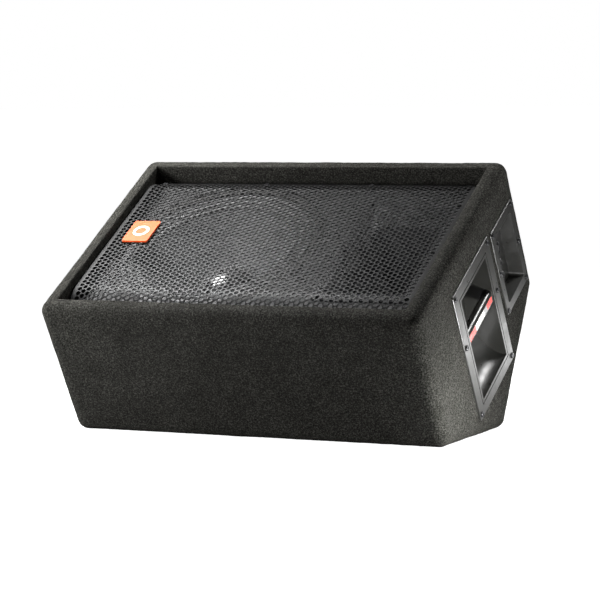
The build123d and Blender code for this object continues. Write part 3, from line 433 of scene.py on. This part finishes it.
class GrilleSkin:
    """Outer face of the sheet, built on a lattice of half columns and half rows."""

    def __init__(self):
        self.points, self.faces, self.index = [], [], {}

    def vertex(self, key, x, across, depth):
        """Index of the point with a key, which is made if it is new."""
        if key not in self.index:
            self.index[key] = len(self.points)
            self.points.append(slanted(x, across, depth))
        return self.index[key]

    def lattice(self, i, j):
        return self.vertex((i, j), column_x(i), *on_sheet(row_run(j)))

    def line(self, tag, across, depth, spots):
        """Points across the whole width: the given spots with a plain margin on each side."""
        return ([self.vertex((tag, "left"), -bend_start, across, depth)] + spots
                + [self.vertex((tag, "right"), bend_start, across, depth)])

    def strip(self, lower, upper, flip=False):
        """Faces between two lines of points."""
        for k in range(len(lower) - 1):
            quad = [lower[k], lower[k + 1], upper[k + 1], upper[k]]
            self.faces.append(quad[::-1] if flip else quad)

    def hole(self, i, j):
        """One cell of the lattice with a round hole in its middle."""
        around = [(-1, -1), (0, -1), (1, -1), (1, 0), (1, 1), (0, 1), (-1, 1), (-1, 0)]
        outer = [self.lattice(i + di, j + dj) for di, dj in around]
        inner = []
        for k in range(hole_sides):
            # the first point of the hole faces the first corner of the cell
            angle = 2 * math.pi * k / hole_sides - 0.75 * math.pi
            run = row_run(j) + hole_radius * math.sin(angle)
            inner.append(self.vertex((i, j, k), column_x(i) + hole_radius * math.cos(angle),
                                     *on_sheet(run)))
        for k in range(len(around)):
            self.faces.append([outer[k], outer[(k + 1) % len(around)],
                               inner[(2 * k + 2) % hole_sides], inner[2 * k + 1], inner[2 * k]])

    def punched_field(self):
        """Staggered columns of holes, with a plain half cell at both ends of the odd columns."""
        for column in range(columns):
            i, odd = 2 * column + 1, column % 2
            for row in range(rows - odd):
                self.hole(i, 2 * row + 1 + odd)
            if odd:
                for j in (0, 2 * rows - 1):
                    self.faces.append([self.lattice(i - 1, j), self.lattice(i, j),
                                       self.lattice(i + 1, j), self.lattice(i + 1, j + 1),
                                       self.lattice(i, j + 1), self.lattice(i - 1, j + 1)])

    def end_margins(self):
        """Plain land beyond the holes at the front and rear, bent down to the baffle."""
        edge_rows = [(bend * (1 - math.sin(t)), land_depth + bend * (1 - math.cos(t)))
                     for t in bend_turns]
        edge_rows.append((0, foot_depth))
        width = range(2 * columns + 1)

        def margin_line(tag, across, depth):
            spots = [self.vertex((tag, i), column_x(i), across, depth) for i in width]
            return self.line(tag, across, depth, spots)

        def field_line(j):
            return self.line(j, *on_sheet(row_run(j)), [self.lattice(i, j) for i in width])

        front_lines = [margin_line(("front", n), grille_front + inset, depth)
                       for n, (inset, depth) in enumerate(edge_rows)]
        rear_lines = [margin_line(("rear", n), grille_rear - inset, depth)
                      for n, (inset, depth) in enumerate(edge_rows)]
        for chain in (front_lines[::-1] + [field_line(0)], [field_line(2 * rows)] + rear_lines):
            for lower, upper in zip(chain, chain[1:]):
                self.strip(lower, upper)

    def sides(self):
        """Plain margins beside the holes, then the sides bent down to the baffle."""
        profile = [(grille_front + bend, land_depth, ("front", 0))]
        profile += [(*on_sheet(row_run(j)), j) for j in range(2 * rows + 1)]
        profile += [(grille_rear - bend, land_depth, ("rear", 0))]
        for side, name, last in ((-1, "left", 0), (1, "right", 2 * columns)):
            for j in range(2 * rows):
                inner = [self.lattice(last, j), self.lattice(last, j + 1)]
                outer = [self.vertex((n, name), side * bend_start, *on_sheet(row_run(n)))
                         for n in (j, j + 1)]
                quad = inner + outer[::-1]
                self.faces.append(quad if side < 0 else quad[::-1])
            previous = None
            for across, depth, tag in profile:
                line = [self.index[(tag, name)]]
                for k, t in enumerate(bend_turns[1:]):
                    line.append(self.vertex((tag, name, k),
                                            side * (bend_start + bend * math.sin(t)),
                                            across, depth + bend * (1 - math.cos(t))))
                line.append(self.vertex((tag, name, "foot"), side * half_width, across, foot_depth))
                if previous:
                    self.strip(previous, line, flip=side < 0)
                previous = line


def grille_sheet():
    """Steel sheet with staggered round holes and curved shoulders, bent down along all four edges."""
    skin = GrilleSkin()
    skin.punched_field()
    skin.end_margins()
    skin.sides()
    made = new_piece("grille_perforated", skin.points, skin.faces, "grille_steel")
    thicken(made, grille_thickness)
    bake_modifiers(made, sharp_angle=40)
    return made


grille_piece = grille_sheet()
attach(grille_piece, "cabinet")
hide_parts("grille")

# ---------------------------------------------------------------- carpet
edge_radius = 0.016
felt_thickness = 0.0025
felt_step = 0.004
mouth_lip = 0.0025             # rounding of the felt round the mouth's rim
lining_depth = 0.029
seam_x = wrap_high[0]
mouth_gap = 0.003              # from the grille to the felt lining round it
plate_gap = 0.0004             # from a moulded cup's plate to the felt round it
plate_reach = 0.002            # only a cup's plate comes this close to the end's outer face
point_clearance = 0.6          # inner points of an end keep this share of a step from the edges
triangle_height = 0.866        # rows of inner points, as a share of a step
same_point = 1e-5
felt_waves = ((0.00022, 210), (0.00030, 95), (0.0005, 18))    # height, and waves per metre
mouth_half = half_width + mouth_gap
mouth_front = grille_front - mouth_gap
mouth_rear = grille_rear + mouth_gap

back_mount = next(m for m in record["mounts"] if m["name"] == "back_rest")
back_normal, back_point = Vector(back_mount["axis"]), Vector(back_mount["pos_m"])
down = Vector((0, 0, -1))
# the five long sides in order round the section: direction faced and distance from the origin
faced = [(out_dir, rim_out), (across_dir, rear_across), (back_normal, back_point.dot(back_normal)),
         (down, -cad_low.z), (-across_dir, -front_across)]
sides = [(Vector((n.dot(across_dir), n.dot(out_dir))), reach) for n, reach in faced]


def crossing(first, second):
    """Where two sides of the section meet, both set in by the edge radius."""
    (n1, r1), (n2, r2) = first, second
    r1, r2 = r1 - edge_radius, r2 - edge_radius
    scale = n1.x * n2.y - n1.y * n2.x
    return Vector(((r1 * n2.y - r2 * n1.y) / scale, (n1.x * r2 - n2.x * r1) / scale))


centres = [crossing(sides[k], sides[(k + 1) % len(sides)]) for k in range(len(sides))]


def section_stations():
    """(base point, direction) all round the section, and where the mouth starts and ends in it."""
    found, mouth = [], []
    for k in range(len(sides)):
        start, end = centres[k - 1], centres[k]
        normal, following = sides[k][0], sides[(k + 1) % len(sides)][0]
        run = (end - start).length
        if k == 0:
            first = front_across + mouth_front - mouth_lip - start.x
            last = front_across + mouth_rear + mouth_lip - start.x
            runs = stations(0, first, felt_step)
            mouth.append(len(runs) - 1)
            runs += stations(first, last, felt_step)[1:]
            mouth.append(len(runs) - 1)
            runs += stations(last, run, felt_step)[1:]
        else:
            runs = stations(0, run, felt_step)
        found += [(start + (end - start) * (r / run), normal) for r in runs]
        turn = normal.angle(following)
        steps = max(3, round(turn * edge_radius / felt_step))
        for step in range(1, steps):
            share = step / steps
            direction = (normal * math.sin((1 - share) * turn)
                         + following * math.sin(share * turn)) / math.sin(turn)
            found.append((end, direction))
    return found, mouth


section, (mouth_start, mouth_end) = section_stations()


def skin_point(x, station, reach):
    base, direction = station
    spot = base + direction * reach
    return long_dir * x + across_dir * spot.x + out_dir * spot.y


def felt_lift(point):
    """Small uneven height of the felt at a place."""
    return sum(height * noise.noise(point * scale) for height, scale in felt_waves)


def felt_piece(name, points, faces, node):
    """Turn an outer skin into felt: facing outwards, uneven and of its own thickness."""
    made = new_piece(name, points, faces, "carpet")
    sheet = bmesh.new()
    sheet.from_mesh(made.data)
    bmesh.ops.remove_doubles(sheet, verts=sheet.verts, dist=0.00002)
    bmesh.ops.recalc_face_normals(sheet, faces=sheet.faces)
    sheet.normal_update()
    for spot in sheet.verts:
        spot.co += spot.normal * felt_lift(spot.co)
    sheet.to_mesh(made.data)
    sheet.free()
    thicken(made, felt_thickness)
    bake_modifiers(made, sharp_angle=50)
    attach(made, "cabinet")
    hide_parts(node)
    return made


def ring_faces(rings, count, left_open=lambda ring, t: False):
    """Faces between neighbouring rings of points, all round, apart from those left open."""
    faces = []
    for ring in range(rings - 1):
        for t in range(count):
            if not left_open(ring, t):
                after = (t + 1) % count
                faces.append([ring * count + t, ring * count + after, (ring + 1) * count + after,
                              (ring + 1) * count + t])
    return faces


def lining_rings():
    """(spread, depth) of the felt as it rounds the mouth's rim and goes down to its foot."""
    angles = (math.pi / 8, math.pi / 4, math.pi * 3 / 8, math.pi / 2)
    rounded = [(mouth_lip * (1 - math.sin(t)), mouth_lip * (1 - math.cos(t))) for t in angles]
    return rounded + [(0, depth) for depth in stations(mouth_lip, lining_depth, felt_step)[1:]]


def wrap_skin():
    """Felt round the four long sides and the rim, turned down into the mouth."""
    edge = mouth_half + mouth_lip
    xs = stations(-seam_x, -edge, felt_step)
    first = len(xs) - 1
    xs += stations(-edge, edge, felt_step)[1:]
    last = len(xs) - 1
    xs += stations(edge, seam_x, felt_step)[1:]
    count = len(section)
    points = [skin_point(x, station, edge_radius) for x in xs for station in section]
    faces = ring_faces(len(xs), count,
                       lambda i, t: first <= i < last and mouth_start <= t < mouth_end)
    border = ([(i, mouth_start) for i in range(first, last)]
              + [(last, t) for t in range(mouth_start, mouth_end)]
              + [(i, mouth_end) for i in range(last, first, -1)]
              + [(first, t) for t in range(mouth_end, mouth_start, -1)])
    previous = [i * count + t for i, t in border]
    for spread, depth in lining_rings():
        current = []
        for i, t in border:
            across = section[t][0].x - front_across
            x = max(-mouth_half - spread, min(mouth_half + spread, xs[i]))
            across = max(mouth_front - spread, min(mouth_rear + spread, across))
            current.append(len(points))
            points.append(slanted(x, across, depth))
        for k in range(len(border)):
            n = (k + 1) % len(border)
            faces.append([previous[k], previous[n], current[n], current[k]])
        previous = current
    return points, faces


# an opening in an end's felt: its limits across and out
Opening = namedtuple("Opening", "left right bottom top")


def plate_opening(node):
    """Opening in the felt for a moulded cup's plate."""
    plate = [v.co for v in nodes[node].data.vertices if v.co.x > half_length - plate_reach]
    acrosses, outs = [p.dot(across_dir) for p in plate], [p.dot(out_dir) for p in plate]
    return Opening(min(acrosses) - plate_gap, max(acrosses) + plate_gap,
                   min(outs) - plate_gap, max(outs) + plate_gap)


def within(across, out, opening, clear=0.0):
    """True if a place is in an opening, or closer to it than the given clearance."""
    return (opening.left - clear < across < opening.right + clear
            and opening.bottom - clear < out < opening.top + clear)


def inside_loop(point, loop):
    """True if a point lies in a closed loop of 2D points."""
    inside = False
    for a, b in zip(loop, loop[1:] + loop[:1]):
        if (a.y > point.y) != (b.y > point.y):
            if point.x < (b.x - a.x) * (point.y - a.y) / (b.y - a.y) + a.x:
                inside = not inside
    return inside


def end_outline():
    """Closed loop of the flat part of an end, inside its rounded edges."""
    outline = []
    for base, _ in section:
        if not outline or (base - outline[-1]).length > same_point:
            outline.append(base.copy())
    if (outline[0] - outline[-1]).length < same_point:
        outline.pop()
    return outline


def opening_outline(opening):
    """Closed loop round an opening."""
    left, right, bottom, top = opening
    loop = [Vector((a, bottom)) for a in stations(left, right, felt_step)[:-1]]
    loop += [Vector((right, h)) for h in stations(bottom, top, felt_step)[:-1]]
    loop += [Vector((a, top)) for a in stations(right, left, felt_step)[:-1]]
    loop += [Vector((left, h)) for h in stations(top, bottom, felt_step)[:-1]]
    return loop


def inner_points(outline, openings):
    """Staggered points over the flat part of an end, clear of its edges and openings."""
    clear = felt_step * point_clearance
    lows = [min(p[axis] for p in outline) for axis in (0, 1)]
    highs = [max(p[axis] for p in outline) for axis in (0, 1)]
    found = []
    row, h = 0, lows[1]
    while h < highs[1]:
        a = lows[0] + (row % 2) * felt_step / 2
        while a < highs[0]:
            spot = Vector((a, h))
            if (inside_loop(spot, outline)
                    and not any(within(a, h, opening, clear) for opening in openings)
                    and all((spot - p).length > clear for p in outline)):
                found.append(spot)
            a += felt_step
        row, h = row + 1, h + felt_step * triangle_height
    return found


def end_skin(side, openings):
    """Felt over one end and round its rounded edges, with an opening for each cup."""
    turns = stations(0, math.pi / 2, felt_step / edge_radius)
    points = []
    for angle in turns:
        x = side * (seam_x + (half_length - seam_x) * math.sin(angle))
        points += [skin_point(x, station, edge_radius * math.cos(angle)) for station in section]
    faces = ring_faces(len(turns), len(section))

    outline = end_outline()
    flat, borders = [], []
    for loop in [outline] + [opening_outline(opening) for opening in openings]:
        start = len(flat)
        flat += loop
        borders += [(start + k, start + (k + 1) % len(loop)) for k in range(len(loop))]
    flat += inner_points(outline, openings)
    meshed = delaunay_2d_cdt(flat, borders, [], 1, 1e-6)
    spots, cells = meshed[0], meshed[2]
    start = len(points)
    points += [long_dir * side * half_length + across_dir * p.x + out_dir * p.y for p in spots]
    for cell in cells:
        centre = sum((Vector(spots[v]) for v in cell), Vector((0, 0))) / len(cell)
        if (inside_loop(centre, outline)
                and not any(within(centre.x, centre.y, opening) for opening in openings)):
            faces.append([start + v for v in cell])
    return points, faces


felt_piece("carpet_felt_wrap", *wrap_skin(), "carpet_wrap")
felt_piece("carpet_felt_left", *end_skin(-1, []), "carpet_left_end")
cup_openings = [plate_opening("handle_cup"), plate_opening("input_cup")]
felt_piece("carpet_felt_right", *end_skin(1, cup_openings), "carpet_right_end")


# ---------------------------------------------------------------- cloth of the woofer
def copied(name, node, slot):
    """A new piece with a CAD node's mesh."""
    made = bpy.data.objects.new(name, nodes[node].data.copy())
    bpy.context.scene.collection.objects.link(made)
    made.data.materials.clear()
    made.data.materials.append(materials[slot])
    return made


cone_low, cone_high = extent("woofer_cone")
cone_axis = ((cone_low[0] + cone_high[0]) / 2, (cone_low[1] + cone_high[1]) / 2)


def suspension(name, node, slot, fixed_radius, moving_radius):
    """Cloth ring clamped at its rim that follows the cone at its inner edge."""
    made = copied(name, node, slot)
    rim = slanted(cone_axis[0] + fixed_radius, cone_axis[1] - front_across, 0)
    inner = slanted(cone_axis[0] + moving_radius, cone_axis[1] - front_across, 0)
    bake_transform(made, "cabinet", "woofer_moving_parts", start=rim, end=inner)
    # the cloth is round, so the share of the motion goes by radius all the way round
    shares = made.data.attributes["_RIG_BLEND"].data
    for spot, share in zip(made.data.vertices, shares):
        radius = math.hypot(spot.co.x - cone_axis[0], spot.co.dot(across_dir) - cone_axis[1])
        t = max(0.0, min(1.0, (fixed_radius - radius) / (fixed_radius - moving_radius)))
        share.value = t * t * (3 - 2 * t)
    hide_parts(node)
    return made


# radius at which each cloth is clamped, and radius at which it moves with the cone
surround_radii = 0.139, 0.1075
spider_radii = 0.060, 0.0325
suspension("surround_cloth_rolls", "woofer_surround", "surround_cloth", *surround_radii)
suspension("spider_cloth_waves", "woofer_spider", "spider_cloth", *spider_radii)


# ---------------------------------------------------------------- wadding
wadding_voxel = 0.006
wadding_sink = 0.0008, 0.0022  # least depth of the uneven surface, and how far it varies
wadding_lumps = 45             # per metre


def wadding_batt():
    """Soft batt behind the drivers with an uneven surface."""
    made = copied("wadding_batt", "damping_wadding", "wadding")
    remesh = made.modifiers.new("remesh", "REMESH")
    remesh.mode = "VOXEL"
    remesh.voxel_size = wadding_voxel
    bake_modifiers(made, sharp_angle=60)
    batt = bmesh.new()
    batt.from_mesh(made.data)
    batt.normal_update()
    least, variation = wadding_sink
    for spot in batt.verts:
        spot.co -= spot.normal * (least + variation * abs(noise.noise(spot.co * wadding_lumps)))
    batt.to_mesh(made.data)
    batt.free()
    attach(made, "cabinet")
    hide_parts("damping_wadding")
    return made


wadding_batt()


# ---------------------------------------------------------------- floor, light and backdrop
def pale_floor():
    """Wide pale floor, lit from within where it is seen directly so that it stays even."""
    reach, height = 60.0, cad_low.z - 0.0005
    mesh = bpy.data.meshes.new("studio_floor")
    corners = [(-reach, -reach), (reach, -reach), (reach, reach), (-reach, reach)]
    mesh.from_pydata([(x, y, height) for x, y in corners], [], [(0, 1, 2, 3)])
    floor = bpy.data.objects.new("studio_floor", mesh)
    bpy.context.scene.collection.objects.link(floor)
    s = Surface("studio_floor_paint", Roughness=0.9)
    s.shader.inputs["Specular IOR Level"].default_value = 0.0
    s.shader.inputs["Emission Color"].default_value = (1, 1, 1, 1)
    seen = s.node("ShaderNodeLightPath").outputs["Is Camera Ray"]
    s.link(s.span(seen, 0.12, 1.0, start=0.0, end=1.0), "Emission Strength")
    s.link(s.ramp(s.noise(0.4), (0.3, (0.24, 0.24, 0.24)), (0.7, (0.26, 0.26, 0.26))), "Base Color")
    mesh.materials.append(s.material)


def studio_world(backdrop, ambient):
    """White backdrop for the camera and a dimmer even light for everything else."""
    world = bpy.data.worlds.new("studio_world")
    bpy.context.scene.world = world
    world.use_nodes = True
    tree = world.node_tree
    shown = tree.nodes["Background"]
    shown.inputs["Color"].default_value = (1, 1, 1, 1)
    shown.inputs["Strength"].default_value = backdrop
    lit = tree.nodes.new("ShaderNodeBackground")
    lit.inputs["Color"].default_value = (1, 1, 1, 1)
    lit.inputs["Strength"].default_value = ambient
    ray = tree.nodes.new("ShaderNodeLightPath")
    mix = tree.nodes.new("ShaderNodeMixShader")
    tree.links.new(ray.outputs["Is Camera Ray"], mix.inputs[0])
    tree.links.new(lit.outputs[0], mix.inputs[1])
    tree.links.new(shown.outputs[0], mix.inputs[2])
    tree.links.new(mix.outputs[0], tree.nodes["World Output"].inputs["Surface"])


def softbox(name, place, target, width, height, power):
    """Rectangular area light facing a target."""
    data = bpy.data.lights.new(name, "AREA")
    data.shape = "RECTANGLE"
    data.size, data.size_y = width, height
    data.energy = power
    lamp = bpy.data.objects.new(name, data)
    bpy.context.scene.collection.objects.link(lamp)
    lamp.location = place
    lamp.rotation_mode = "QUATERNION"
    lamp.rotation_quaternion = (Vector(target) - Vector(place)).to_track_quat("-Z", "Y")
    lamp.visible_camera = False


bpy.context.scene.view_settings.view_transform = "Standard"
pale_floor()
studio_world(backdrop=1.0, ambient=0.05)
middle_top = slanted(0, 0.19, 0)
left_top = slanted(-0.26, 0.16, 0)
right_end = Vector((half_length, 0, 0.09))
# name, place, target, width, height, power in watts
softbox("key_softbox", left_top + Vector((-0.16, -0.02, 0.58)), left_top, 0.35, 0.35, 26)
softbox("top_softbox", middle_top + Vector((-0.55, 0.5, 2.0)), middle_top, 1.2, 1.2, 7)
softbox("left_softbox", (-0.80, -0.75, 0.28), (-0.25, -0.15, 0.1), 0.3, 0.3, 24)
softbox("right_softbox", right_end + Vector((0.18, -0.10, -0.08)), right_end, 0.16, 0.03, 4)
softbox("rear_right_softbox", right_end + Vector((0.38, 0.75, -0.06)), right_end, 0.5, 0.1, 1.2)
softbox("cup_softbox", right_end + Vector((0.32, 0.28, 0.80)), right_end, 0.2, 0.2, 9)
